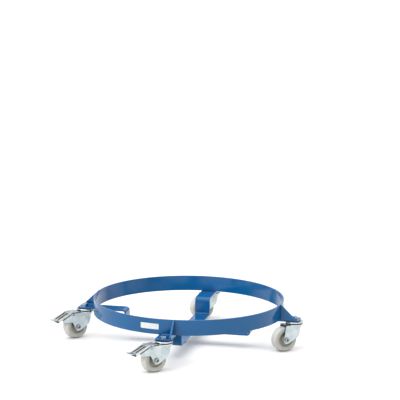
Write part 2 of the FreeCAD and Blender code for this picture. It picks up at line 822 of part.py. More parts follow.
def build_wheel(name):
    """A moulded wheel about the sideways axis: tread, flat rim, long hub in a recess on each side."""
    body = keep(new_body(f"{name}_wheel"))
    sketch = new_sketch(body, "XY_Plane")
    bore = tube_outer + dim.running_play
    hub = dim.hub_diameter / 2
    rim = wheel_radius - dim.wheel_rim
    tread = dim.wheel_width / 2
    web = dim.wheel_web / 2
    one_side = [
        (bore, hub_half),
        (hub, hub_half),
        (hub, web),
        (rim - dim.wheel_recess_slant, web),
        (rim, tread),
        (wheel_radius, tread),
    ]
    other_side = [(radius, -along) for radius, along in reversed(one_side)]
    draw_outline(sketch, one_side + other_side)
    revolve(body, sketch)
    levels = [(wheel_radius, side * tread) for side in BOTH_SIDES]
    round_edges(body, dim.wheel_round, round_rims(body, "y", levels))
    soft = [(radius, side * along) for radius, along in one_side[1:5] for side in BOTH_SIDES]
    round_edges(body, dim.rim_round, round_rims(body, "y", soft))
    return body


def build_axle_tube(name):
    body = keep(new_body(f"{name}_axle_tube"))
    sketch = new_sketch(body, "XZ_Plane")
    draw_circle(sketch, tube_outer)
    draw_circle(sketch, axle_hole)
    pad(body, sketch, dim.fork_gap, both_ways=True)
    return body


def build_pedal(name):
    """A pressed channel with its open side down, bent down behind, with a tongue at the end."""
    body = keep(new_body(f"{name}_brake_pedal"))
    front = dim.head_radius + dim.pedal_front_gap
    flange_front = dim.fork_back + dim.pedal_flange_gap
    upright = dim.pedal_sheet / cosine(dim.pedal_slope)
    shift = dim.pedal_sheet * tangent(dim.pedal_slope / 2)
    knee_under = dim.pedal_knee - shift
    outside = new_sketch(body, "XZ_Plane")
    draw_outline(outside, [
        (front, pedal_top - dim.pedal_sheet),
        (flange_front, pedal_top - dim.pedal_sheet),
        (flange_front, pedal_top - dim.pedal_flange),
        (dim.pedal_knee, pedal_top - dim.pedal_flange),
        (dim.pedal_end, pedal_level(dim.pedal_end) - dim.pedal_flange_end),
        (dim.pedal_end, pedal_level(dim.pedal_end)),
        (dim.pedal_knee, pedal_top),
        (front, pedal_top),
    ])
    pad(body, outside, 2 * pedal_half, both_ways=True)
    long_edges = [(side * pedal_half, pedal_top) for side in BOTH_SIDES]
    slope_ends = [(dim.pedal_knee, pedal_top), (dim.pedal_end, pedal_level(dim.pedal_end))]
    names = straight_edges(body, "x", long_edges) + sloping_edges(body, slope_ends)
    round_edges(body, dim.pedal_round, names)
    hollow = new_sketch(body, "XZ_Plane")
    draw_outline(hollow, [
        (front - dim.overrun, pedal_top - dim.pedal_sheet),
        (knee_under, pedal_top - dim.pedal_sheet),
        (dim.pedal_end + dim.overrun, pedal_level(dim.pedal_end + dim.overrun) - upright),
        (dim.pedal_end + dim.overrun, foot_of_cut()),
        (front - dim.overrun, foot_of_cut()),
    ])
    pocket(body, hollow, 2 * (pedal_half - dim.pedal_sheet))
    slot_round = dim.slot_width / 2
    slots = new_sketch(body, "XY_Plane")
    for side in BOTH_SIDES:
        draw_slot(slots, slot_round, dim.pedal_knee + dim.slot_margin + slot_round,
                  dim.pedal_end - dim.slot_margin - slot_round, side * dim.slot_spacing / 2)
    pocket(body, slots)
    tongue = new_sketch(body, "XZ_Plane")
    tip = dim.pedal_end + dim.tongue_length
    tip_level = pedal_level(dim.pedal_end) + dim.tongue_rise
    draw_outline(tongue, [
        (dim.pedal_end, pedal_level(dim.pedal_end) - upright),
        (tip, tip_level - dim.pedal_sheet),
        (tip, tip_level),
        (dim.pedal_end, pedal_level(dim.pedal_end)),
    ])
    pad(body, tongue, dim.tongue_width, both_ways=True)
    hole = new_sketch(body, "XZ_Plane")
    draw_circle(hole, dim.pivot_radius + dim.running_play, dim.pivot_back, pivot_height)
    pocket(body, hole)
    return body


def foot_of_cut():
    """A level below everything the pedal has, for the cut of its hollow."""
    return pedal_level(dim.pedal_end) - dim.pedal_flange - dim.overrun


def sloping_edges(body, ends):
    """Names of the edges that run between the two ends, seen from the side."""
    places = [(x.value(), z.value()) for x, z in ends]
    names = []
    for index, edge in enumerate(body.Tip.Shape.Edges, start=1):
        points = [(vertex.Point.x, vertex.Point.z) for vertex in edge.Vertexes]
        if len(points) < 2:
            continue
        for order in (points, points[::-1]):
            gaps = [abs(a - b) for point, goal in zip(order, places) for a, b in zip(point, goal)]
            if max(gaps) < NEARNESS:
                names.append(f"Edge{index}")
                break
    return names


def build_pedal_pin(name):
    """A rivet across the wings: a shank with a head against each wing."""
    body = keep(new_body(f"{name}_pedal_pin"))
    sketch = new_sketch(body, "XY_Plane")
    half = fork_outer
    end = half + dim.pivot_head_height
    draw_outline(sketch, [
        (nought, -end),
        (dim.pivot_head, -end),
        (dim.pivot_head, -half),
        (dim.pivot_radius, -half),
        (dim.pivot_radius, half),
        (dim.pivot_head, half),
        (dim.pivot_head, end),
        (nought, end),
    ])
    revolve(body, sketch)
    return body


def build_brake_block(name):
    """A block under the pedal, hollowed to fit the tread once the pedal is down, with a tail as a liner."""
    body = keep(new_body(f"{name}_brake_block"))
    upright = dim.pedal_sheet / cosine(dim.pedal_slope)
    lined = upright + dim.liner_thickness / cosine(dim.pedal_slope)
    shift = dim.pedal_sheet * tangent(dim.pedal_slope / 2)
    tail_end = dim.pedal_end - dim.liner_end_gap
    sketch = new_sketch(body, "XZ_Plane")
    draw_outline(sketch, [
        (dim.block_front, wheel_radius),
        (dim.block_back, wheel_radius),
        (dim.block_back, pedal_level(dim.block_back) - lined),
        (tail_end, pedal_level(tail_end) - lined),
        (tail_end, pedal_level(tail_end) - upright),
        (dim.pedal_knee - shift, pedal_top - dim.pedal_sheet),
        (dim.block_front, pedal_top - dim.pedal_sheet),
    ])
    pad(body, sketch, dim.block_width, both_ways=True)
    across = dim.trail - dim.pivot_back
    down = wheel_radius - pivot_height
    turn = dim.pedal_travel
    tread = new_sketch(body, "XZ_Plane")
    draw_circle(
        tread, wheel_radius + dim.block_gap,
        dim.pivot_back + across * cosine(turn) - down * sine(turn),
        pivot_height + across * sine(turn) + down * cosine(turn))
    pocket(body, tread)
    return body


def build_castor(name, direction, braked):
    """One castor under an arm: what stays with the frame, what swivels and what rolls."""
    arm = Size(direction)
    heading = getattr(dim, f"{name}_heading")
    across, along = dim.arm_radius * cosine(arm), dim.arm_radius * sine(arm)
    for item in (build_head(name), build_king_pin(name), build_balls(name), build_fork(name, braked)):
        place(item, across, along, floor_level, heading)
    grip = dim.washer_thickness + dim.bar_thickness + castor_height - flange_under
    bolt = hex_bolt(f"{name}_castor_bolt", STANDING, dim.bolt_flats, dim.bolt_head, dim.bolt_diameter,
                    grip + dim.bolt_nut_height + dim.bolt_tail)
    place(bolt, across, along, dim.washer_thickness, arm)
    nut = hex_nut(f"{name}_castor_nut", STANDING, dim.bolt_flats, dim.bolt_nut_height,
                  dim.bolt_diameter / 2)
    place(nut, across, along, floor_level + flange_under, arm)
    axle_x = across + dim.trail * cosine(heading)
    axle_y = along + dim.trail * sine(heading)
    axle_z = floor_level + wheel_radius
    for item in (build_wheel(name), build_axle_tube(name)):
        place(item, axle_x, axle_y, axle_z, heading)
    build_axle(name, heading, axle_x, axle_y, axle_z)
    if braked:
        for item in (build_pedal(name), build_brake_block(name)):
            place(item, across, along, floor_level, heading)
        pin_x = across + dim.pivot_back * cosine(heading)
        pin_y = along + dim.pivot_back * sine(heading)
        place(build_pedal_pin(name), pin_x, pin_y, floor_level + pivot_height, heading)


def build_axle(name, heading, axle_x, axle_y, axle_z):
    """The axle bolt and its nut, lying across the fork with the nut on its right-hand side."""
    length = 2 * fork_outer + dim.axle_nut_height + dim.bolt_tail
    bolt = socket_bolt(f"{name}_axle_bolt", LYING, dim.axle_head_diameter, dim.axle_head,
                       dim.axle_diameter, length)
    nut = hex_nut(f"{name}_axle_nut", LYING, dim.axle_flats, dim.axle_nut_height, dim.axle_diameter / 2)
    for item, side in ((bolt, -1), (nut, 1)):
        x = axle_x + side * fork_outer * sine(heading)
        y = axle_y - side * fork_outer * cosine(heading)
        place(item, x, y, axle_z, heading + HALF_TURN)


def build_washers():
    washers = []
    for name, direction, _, _ in ARMS:
        body = new_body(f"{name}_washer")
        sketch = new_sketch(body, "XY_Plane")
        draw_circle(sketch, dim.washer_radius)
        draw_circle(sketch, bolt_hole)
        pad(body, sketch, dim.washer_thickness)
        arm = Size(direction)
        place(body, dim.arm_radius * cosine(arm), dim.arm_radius * sine(arm))
        washers.append(body)
    gather("castor_washers", washers)


def build_all():
    build_ring()
    build_through_bar()
    beads = []
    for name, direction, side, braked in ARMS:
        if name in ("left", "right"):
            build_half_bar(name, direction)
        build_gusset(name, direction, side)
        beads += weld_bodies(name, direction, side)
        build_castor(name, direction, braked)
    gather("frame_welds", beads)
    build_washers()
    build_label()
    doc.recompute()


def check_and_write():
    """Stops on any object in error or bad shape, then writes one file for each sub-part."""
    faulty = [item.Label for item in doc.Objects if "Invalid" in item.State or "Error" in item.State]
    if faulty:
        raise RuntimeError(f"in error: {faulty}")
    os.makedirs("parts", exist_ok=True)
    for item in sub_parts:
        if not item.Shape.isValid() or item.Shape.Volume <= 0:
            raise RuntimeError(f"{item.Label} has a bad shape")
        item.Shape.exportStep(f"parts/{item.Label}.step")
    print(len(sub_parts), "sub-parts written")


build_all()
check_and_write()
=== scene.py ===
"""Looks of a drum trolley: a blue ring on crossed flat bars, carried by zinc-plated swivel castors.

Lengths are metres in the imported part's own frame. The origin is on the ring's axis in the plane of the
bar tops, +Z is up, +X runs along the right arm and -Y along the front arm.
"""
import logging
import math
from abc import ABC, abstractmethod
from collections.abc import Iterable, Sequence
from dataclasses import dataclass, field
from enum import Enum
from typing import ClassVar

import bmesh
import bpy
from mathutils import Matrix, Vector


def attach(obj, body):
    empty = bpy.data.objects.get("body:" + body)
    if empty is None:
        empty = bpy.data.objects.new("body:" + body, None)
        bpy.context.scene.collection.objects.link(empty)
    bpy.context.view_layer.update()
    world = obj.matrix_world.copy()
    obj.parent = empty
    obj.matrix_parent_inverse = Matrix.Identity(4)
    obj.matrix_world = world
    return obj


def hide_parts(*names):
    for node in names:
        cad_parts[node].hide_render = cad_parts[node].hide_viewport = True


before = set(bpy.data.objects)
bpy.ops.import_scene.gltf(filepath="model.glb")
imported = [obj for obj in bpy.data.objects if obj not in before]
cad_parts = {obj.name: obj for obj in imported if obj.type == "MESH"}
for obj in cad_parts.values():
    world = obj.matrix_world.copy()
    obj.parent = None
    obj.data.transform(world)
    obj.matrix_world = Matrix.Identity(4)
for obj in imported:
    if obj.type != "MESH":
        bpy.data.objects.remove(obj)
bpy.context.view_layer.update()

LOG = logging.getLogger("drum_trolley")

Colour = tuple[float, float, float]
Spot = tuple[float, float, float]
Stops = tuple[tuple[float, Colour], ...]
Socket = bpy.types.NodeSocket

FLOOR_LEVEL = -0.102
RING_OUTER = 0.310
RING_AXIS = (0.0, 0.0, 1.0)
MERGE_GAP = 1e-6
FLAT_ANGLE = math.radians(0.5)
SHARP_ANGLE = math.radians(28.0)
TREAD_MARK = "tread_share"
UPWARD_MARK = "upward_share"

# The middle of a cloudy pattern's values, which a range of gloss is spread over
PATTERN_LOW, PATTERN_HIGH = 0.3, 0.7
# Where a Mix node has its factor and its colours, among sockets for other kinds of data
MIX_SHARE, MIX_FIRST, MIX_SECOND, MIX_RESULT = 0, 6, 7, 2


class Slot(Enum):
    """Material slots of the record."""

    BLUE_PAINT = "blue_paint"
    ZINC_SHEET = "zinc_sheet"
    BOLT_ZINC = "bolt_zinc"
    BALL_STEEL = "ball_steel"
    POLYAMIDE = "polyamide"
    BRAKE_RUBBER = "brake_rubber"
    LABEL_FILM = "label_film"


class Arm(Enum):
    """The four arms: name, direction, side of the gusset, heading of the castor, whether it has a brake."""

    RIGHT = ("right", 0.0, -1, 220.0, False)
    REAR = ("rear", 90.0, 1, 220.0, False)
    LEFT = ("left", 180.0, -1, 228.0, True)
    FRONT = ("front", 270.0, 1, 226.0, True)

    def __init__(self, label: str, direction: float, side: int, heading: float, braked: bool) -> None:
        """Keeps the five values under their own names.

        Args:
            label: the arm's name.
            direction: its direction from the ring's axis, in degrees.
            side: the edge that its gusset stands on, looking outwards: 1 for the left, -1 for the right.
            heading: the direction that its castor trails in, in degrees.
            braked: whether its castor has a brake.
        """
        self.label = label
        self.direction = direction
        self.side = side
        self.heading = heading
        self.braked = braked

    def turn(self) -> Matrix:
        """The turn from the right arm to this one."""
        return Matrix.Rotation(math.radians(self.direction), 4, "Z")


@dataclass(frozen=True)
class Pattern:
    """A cloudy pattern: clouds in a metre, finer layers, and how much faster it changes along each axis."""

    scale: float
    detail: float = 3.0
    stretch: Spot = (1.0, 1.0, 1.0)


@dataclass(frozen=True)
class Mottle:
    """A mottled colour: its pattern, and the colours at rising values of the pattern."""

    pattern: Pattern
    stops: Stops


@dataclass(frozen=True)
class CornerShade:
    """Painted shade in corners: its colour, how near other surfaces count, the openness where it is full and
    gone.
    """

    colour: Colour
    reach: float
    full: float
    gone: float


@dataclass(frozen=True)
class Gloss:
    """Uneven gloss: its pattern, and the roughness where the pattern is low and high."""

    pattern: Pattern
    low: float
    high: float


@dataclass(frozen=True)
class Relief:
    """Fine relief of a skin: its pattern, how high it stands and how strongly it shows."""

    pattern: Pattern
    height: float
    strength: float


class Graph:
    """A material's node graph, with short calls for the nodes that the finishes share."""

    def __init__(self, name: str) -> None:
        """Starts a material whose patterns follow Object coordinates.

        Args:
            name: the material's name.
        """
        self.material = bpy.data.materials.new(name)
        self.material.use_nodes = True
        self.tree = self.material.node_tree
        self.shader = self.tree.nodes["Principled BSDF"]
        self.place = self.tree.nodes.new("ShaderNodeTexCoord").outputs["Object"]

    def link(self, source: Socket, target: Socket) -> None:
        """Joins two sockets."""
        self.tree.links.new(source, target)

    def noise(self, pattern: Pattern) -> Socket:
        """Draws a cloudy pattern.

        Args:
            pattern: what it is like.

        Returns:
            The pattern's value.
        """
        mapping = self.tree.nodes.new("ShaderNodeMapping")
        mapping.inputs["Scale"].default_value = pattern.stretch
        self.link(self.place, mapping.inputs["Vector"])
        texture = self.tree.nodes.new("ShaderNodeTexNoise")
        texture.inputs["Scale"].default_value = pattern.scale
        texture.inputs["Detail"].default_value = pattern.detail
        self.link(mapping.outputs["Vector"], texture.inputs["Vector"])
        return texture.outputs["Fac"]

    def mottle(self, mottle: Mottle) -> Socket:
        """Draws a mottled colour.

        Args:
            mottle: its pattern and colours.

        Returns:
            The colour.
        """
        node = self.tree.nodes.new("ShaderNodeValToRGB")
        ramp = node.color_ramp.elements
        for end, (position, colour) in zip(ramp, (mottle.stops[0], mottle.stops[-1])):
            end.position = position
            end.color = (*colour, 1.0)
        for position, colour in mottle.stops[1:-1]:
            ramp.new(position).color = (*colour, 1.0)
        self.link(self.noise(mottle.pattern), node.inputs["Fac"])
        return node.outputs["Color"]

    def spread(self, value: Socket, start: float, end: float, low: float = 0.0, high: float = 1.0) -> Socket:
        """Spreads part of a value's range over another range.

        Args:
            value: the value to read.
            start: the value that gives the low result.
            end: the value that gives the high result.
            low: the low result.
            high: the high result.

        Returns:
            The spread value, which stays between the two results.
        """
        node = self.tree.nodes.new("ShaderNodeMapRange")
        limits = {"From Min": start, "From Max": end, "To Min": low, "To Max": high}
        for name, limit in limits.items():
            node.inputs[name].default_value = limit
        self.link(value, node.inputs["Value"])
        return node.outputs["Result"]

    def blend(self, share: Socket, first: Colour | Socket, second: Colour | Socket) -> Socket:
        """Goes from one colour to another.

        Args:
            share: how much of the second colour there is.
            first: the colour where the share is nought.
            second: the colour where the share is one.

        Returns:
            The colour between them.
        """
        node = self.tree.nodes.new("ShaderNodeMix")
        node.data_type = "RGBA"
        self.link(share, node.inputs[MIX_SHARE])
        for index, colour in ((MIX_FIRST, first), (MIX_SECOND, second)):
            if isinstance(colour, tuple):
                node.inputs[index].default_value = (*colour, 1.0)
            else:
                self.link(colour, node.inputs[index])
        return node.outputs[MIX_RESULT]

    def shade_corners(self, corner_shade: CornerShade, unshaded: Socket) -> Socket:
        """Paints shade over a colour, deep in the corners and gone on open faces.

        Args:
            corner_shade: the painted shade's colour and where it lies.
            unshaded: the colour under it.

        Returns:
            The colour with the painted shade on it.
        """
        # Painted shade: the ambient occlusion darkens the colour where other surfaces stand near
        node = self.tree.nodes.new("ShaderNodeAmbientOcclusion")
        node.inputs["Distance"].default_value = corner_shade.reach
        openness = self.spread(node.outputs["AO"], corner_shade.full, corner_shade.gone)
        return self.blend(openness, corner_shade.colour, unshaded)

    def depth(self) -> Socket:
        """Measures how far a point lies below the ring's foot.

        Returns:
            The depth.
        """
        node = self.tree.nodes.new("ShaderNodeVectorMath")
        node.operation = "DOT_PRODUCT"
        node.inputs[1].default_value = (0.0, 0.0, -1.0)
        self.link(self.place, node.inputs[0])
        return node.outputs["Value"]

    def radius(self) -> Socket:
        """Measures how far a point lies from the ring's axis.

        Returns:
            The distance.
        """
        flat = self.tree.nodes.new("ShaderNodeVectorMath")
        flat.operation = "MULTIPLY"
        flat.inputs[1].default_value = (1.0, 1.0, 0.0)
        self.link(self.place, flat.inputs[0])
        node = self.tree.nodes.new("ShaderNodeVectorMath")
        node.operation = "LENGTH"
        self.link(flat.outputs["Vector"], node.inputs[0])
        return node.outputs["Value"]

    def mark(self, name: str) -> Socket:
        """Reads one of the mesh's own attributes.

        Args:
            name: the attribute's name.

        Returns:
            Its value.
        """
        node = self.tree.nodes.new("ShaderNodeAttribute")
        node.attribute_name = name
        return node.outputs["Fac"]

    def relief(self, relief: Relief) -> None:
        """Roughens the surface.

        Args:
            relief: what the skin is like.
        """
        node = self.tree.nodes.new("ShaderNodeBump")
        node.inputs["Distance"].default_value = relief.height
        node.inputs["Strength"].default_value = relief.strength
        self.link(self.noise(relief.pattern), node.inputs["Height"])
        self.link(node.outputs["Normal"], self.shader.inputs["Normal"])

    def gloss(self, gloss: Gloss) -> None:
        """Makes the surface shiny and dull in turn."""
        pattern = self.noise(gloss.pattern)
        self.drive("Roughness", self.spread(pattern, PATTERN_LOW, PATTERN_HIGH, gloss.low, gloss.high))

    def drive(self, socket: str, source: Socket) -> None:
        """Feeds one of the shader's sockets."""
        self.link(source, self.shader.inputs[socket])

    def hold(self, **values: float) -> None:
        """Sets plain values on the shader, with underscores for the spaces in the sockets' names."""
        for name, value in values.items():
            self.shader.inputs[name.replace("_", " ")].default_value = value


class Finish(ABC):
    """A surface finish that makes its material once."""

    slot: Slot
    gloss: Gloss
    relief: Relief | None = None
    metallic: float = 0.0
    made: ClassVar[dict[str, bpy.types.Material]] = {}

    def material(self) -> bpy.types.Material:
        """Makes the finish's material on first use.

        Returns:
            The material.
        """
        name = type(self).__name__
        if name not in Finish.made:
            graph = Graph(name)
            graph.drive("Base Color", self.tone(graph))
            graph.gloss(self.gloss)
            if self.relief is not None:
                graph.relief(self.relief)
            graph.hold(Metallic=self.metallic)
            self.temper(graph)
            Finish.made[name] = graph.material
        return Finish.made[name]

    @abstractmethod
    def tone(self, graph: Graph) -> Socket:
        """The finish's colour, drawn into a node graph."""

    def temper(self, graph: Graph) -> None:
        """Sets what else the shader needs: nothing, unless a finish says otherwise."""

    def prepare(self, shape: "Shape") -> None:
        """Adds the marks that the finish reads to a shape: none, unless a finish says otherwise."""


@dataclass(frozen=True)
class PowderCoat(Finish):
    """Blue powder coat: an uneven tone, a faint orange peel, with painted shade in its corners and on the
    tabs' rims.
    """

    slot: Slot = Slot.BLUE_PAINT
    paint: Mottle = Mottle(Pattern(5.0), (
        (0.35, (0.001, 0.103, 0.290)),
        (0.65, (0.003, 0.127, 0.350)),
    ))
    # Painted shade: deep blue where other surfaces stand near, as at the ring's foot and the gussets
    corners: CornerShade = CornerShade((0.001, 0.028, 0.110), reach=0.022, full=0.15, gone=0.95)
    # Painted shade: a dark line along the lower edge of each castor tab, above the castor head
    rim: Colour = (0.001, 0.020, 0.080)
    # Depths between which a tab's rim darkens with painted shade, then distances from the axis between which
    # the tabs begin
    rim_shade_start: float = 0.001
    rim_shade_end: float = 0.003
    tab_start: float = 0.318
    tab_end: float = 0.326
    gloss: Gloss = Gloss(Pattern(30.0), low=0.10, high=0.17)
    relief: Relief = Relief(Pattern(620.0, detail=1.0), height=0.0001, strength=0.25)
    sheen: float = 0.40

    def tone(self, graph: Graph) -> Socket:
        """Draws uneven blue, with painted shade on the rims of the castor tabs and in the corners.

        Args:
            graph: the material's graph.

        Returns:
            The colour.
        """
        paint = graph.mottle(self.paint)
        # Painted shade on the tabs' lower edges, outside the ring
        rims = graph.blend(graph.spread(graph.depth(), self.rim_shade_start, self.rim_shade_end), paint, self.rim)
        tabs = graph.blend(graph.spread(graph.radius(), self.tab_start, self.tab_end), paint, rims)
        return graph.shade_corners(self.corners, tabs)

    def temper(self, graph: Graph) -> None:
        """Sets how strongly the paint mirrors."""
        graph.hold(Specular_IOR_Level=self.sheen)


@dataclass(frozen=True)
class ZincPlate(Finish):
    """Bright zinc plate on pressed sheet: cool clouds of tone, fine scratches from handling."""

    slot: Slot = Slot.ZINC_SHEET
    plate: Mottle = Mottle(Pattern(34.0, detail=5.0), (
        (0.30, (0.53, 0.555, 0.53)),
        (0.42, (0.425, 0.51, 0.54)),
        (0.66, (0.595, 0.65, 0.665)),
    ))
    # Painted shade: near black in the narrow gaps, as under the head plate and inside the fork
    crevice_shade: CornerShade = CornerShade((0.030, 0.034, 0.036), reach=0.009, full=0.25, gone=0.85)
    gloss: Gloss = Gloss(Pattern(70.0, detail=4.0), low=0.12, high=0.26)
    relief: Relief = Relief(Pattern(420.0, detail=2.0, stretch=(1.0, 1.0, 0.2)), height=0.00006,
                            strength=0.5)
    metallic: float = 1.0

    def tone(self, graph: Graph) -> Socket:
        """Clouds of warm, cool and bright zinc, with painted shade in the corners."""
        return graph.shade_corners(self.crevice_shade, graph.mottle(self.plate))


@dataclass(frozen=True)
class BoltZinc(Finish):
    """Zinc plate on turned and forged fasteners, finer than on the sheet, and bluer as a painted reflection
    of the blue frame.
    """

    slot: Slot = Slot.BOLT_ZINC
    # Painted reflection: the blue tint stands for the blue frame mirrored in the bolts' heads
    plate: Mottle = Mottle(Pattern(160.0, detail=4.0), (
        (0.35, (0.20, 0.30, 0.40)),
        (0.65, (0.40, 0.51, 0.60)),
    ))
    gloss: Gloss = Gloss(Pattern(240.0), low=0.16, high=0.32)
    relief: Relief = Relief(Pattern(900.0, detail=2.0), height=0.00005, strength=0.6)
    metallic: float = 1.0

    def tone(self, graph: Graph) -> Socket:
        """Spots of dark and bright zinc, tinted blue as a painted reflection of the frame."""
        return graph.mottle(self.plate)


@dataclass(frozen=True)
class PedalZinc(Finish):
    """Zinc plate, darker and mottled on the faces that look up and brighter on the others, with painted
    shade near the head.
    """

    slot: Slot = Slot.ZINC_SHEET
    # Darker mottled tone for the faces that look up
    upper_mottle: Mottle = Mottle(Pattern(90.0, detail=6.0), (
        (0.36, (0.34, 0.36, 0.36)),
        (0.60, (0.57, 0.60, 0.595)),
    ))
    side_zinc: Colour = (0.60, 0.645, 0.655)
    # Painted shade: a dark bluish tone where the pedal runs in under the fork and head
    root: CornerShade = CornerShade((0.06, 0.09, 0.13), reach=0.030, full=0.72, gone=0.96)
    # Painted shade in the narrow gaps, such as between the pedal's flange and the fork's hem
    crevice_shade: CornerShade = CornerShade((0.020, 0.022, 0.022), reach=0.006, full=0.25, gone=0.85)
    gloss: Gloss = Gloss(Pattern(130.0, detail=5.0), low=0.14, high=0.30)
    relief: Relief = Relief(Pattern(520.0), height=0.00006, strength=0.6)
    metallic: float = 1.0
    side_lean: float = 0.45
    top_lean: float = 0.80

    def tone(self, graph: Graph) -> Socket:
        """A darker mottle above with painted shade at its root, brighter zinc at the sides and painted shade
        in the corners.
        """
        upper_tone = graph.shade_corners(self.root, graph.mottle(self.upper_mottle))
        return graph.shade_corners(self.crevice_shade, graph.blend(graph.mark(UPWARD_MARK), self.side_zinc, upper_tone))

    def prepare(self, shape: "Shape") -> None:
        """Marks the faces that look up."""
        shape.mark_upward(UPWARD_MARK, self.side_lean, self.top_lean)


@dataclass(frozen=True)
class AxleSteel(Finish):
    """Dull passivated steel of the axles and pins, with painted shade in the sockets and round their feet.
    """

    slot: Slot = Slot.BOLT_ZINC
    steel: Mottle = Mottle(Pattern(180.0, detail=4.0), (
        (0.35, (0.30, 0.33, 0.34)),
        (0.65, (0.44, 0.47, 0.48)),
    ))
    # Painted shade: near black inside the sockets and round the bolts' feet
    grease: CornerShade = CornerShade((0.012, 0.014, 0.016), reach=0.006, full=0.30, gone=0.85)
    gloss: Gloss = Gloss(Pattern(240.0), low=0.30, high=0.48)
    relief: Relief = Relief(Pattern(900.0, detail=2.0), height=0.00005, strength=0.6)
    metallic: float = 1.0

    def tone(self, graph: Graph) -> Socket:
        """Mottled steel with painted shade in its corners."""
        return graph.shade_corners(self.grease, graph.mottle(self.steel))


@dataclass(frozen=True)
class BallSteel(Finish):
    """Polished bearing balls, dull where a film of grease lies."""

    slot: Slot = Slot.BALL_STEEL
    steel: Mottle = Mottle(Pattern(300.0, detail=2.0), (
        (0.40, (0.30, 0.25, 0.17)),
        (0.55, (0.66, 0.66, 0.65)),
    ))
    gloss: Gloss = Gloss(Pattern(300.0, detail=2.0), low=0.30, high=0.08)
    metallic: float = 1.0

    def tone(self, graph: Graph) -> Socket:
        """Bright steel with patches of grease."""
        return graph.mottle(self.steel)


@dataclass(frozen=True)
class Polyamide(Finish):
    """Natural off-white polyamide: slightly see-through and scuffed, with painted light on the tread and
    painted shade in the hub's recess.
    """

    slot: Slot = Slot.POLYAMIDE
    flow: Mottle = Mottle(Pattern(45.0, detail=4.0), (
        (0.32, (0.465, 0.462, 0.38)),
        (0.62, (0.565, 0.565, 0.51)),
    ))
    # Painted light: the tread lighter than the sides
    rolled: Colour = (0.71, 0.715, 0.68)
    # Painted shade: dark in the hub's recess and beside the fork's legs
    crevice_shade: CornerShade = CornerShade((0.030, 0.033, 0.024), reach=0.013, full=0.15, gone=0.80)
    gloss: Gloss = Gloss(Pattern(110.0), low=0.34, high=0.50)
    relief: Relief = Relief(Pattern(700.0, detail=2.0), height=0.00005, strength=0.4)
    haze: float = 0.25
    haze_depth: float = 0.004

    def tone(self, graph: Graph) -> Socket:
        """Flow marks on the sides, painted lighter on the tread, with painted shade in the recess."""
        # Painted light: the sides' tone fades into the lighter tread
        skin = graph.blend(graph.mark(TREAD_MARK), graph.mottle(self.flow), self.rolled)
        return graph.shade_corners(self.crevice_shade, skin)

    def temper(self, graph: Graph) -> None:
        """Lets a little light into the plastic."""
        graph.hold(Subsurface_Weight=self.haze, Subsurface_Scale=self.haze_depth)


@dataclass(frozen=True)
class BrakeRubber(Finish):
    """Black moulded rubber with a dusty bloom."""

    slot: Slot = Slot.BRAKE_RUBBER
    bloom: Mottle = Mottle(Pattern(90.0, detail=4.0), (
        (0.40, (0.018, 0.018, 0.019)),
        (0.70, (0.050, 0.049, 0.047)),
    ))
    gloss: Gloss = Gloss(Pattern(200.0), low=0.62, high=0.82)
    relief: Relief = Relief(Pattern(1200.0, detail=2.0), height=0.00008, strength=0.6)

    def tone(self, graph: Graph) -> Socket:
        """Black with a dusty bloom."""
        return graph.mottle(self.bloom)


@dataclass(frozen=True)
class LabelFilm(Finish):
    """Blank white adhesive film, faintly wavy."""

    slot: Slot = Slot.LABEL_FILM
    film: Mottle = Mottle(Pattern(60.0), (
        (0.35, (0.77, 0.78, 0.80)),
        (0.55, (0.84, 0.85, 0.86)),
    ))
    gloss: Gloss = Gloss(Pattern(150.0), low=0.30, high=0.42)
    relief: Relief = Relief(Pattern(110.0, detail=1.0), height=0.0001, strength=0.4)

    def tone(self, graph: Graph) -> Socket:
        """White with faint grey clouds."""
        return graph.mottle(self.film)


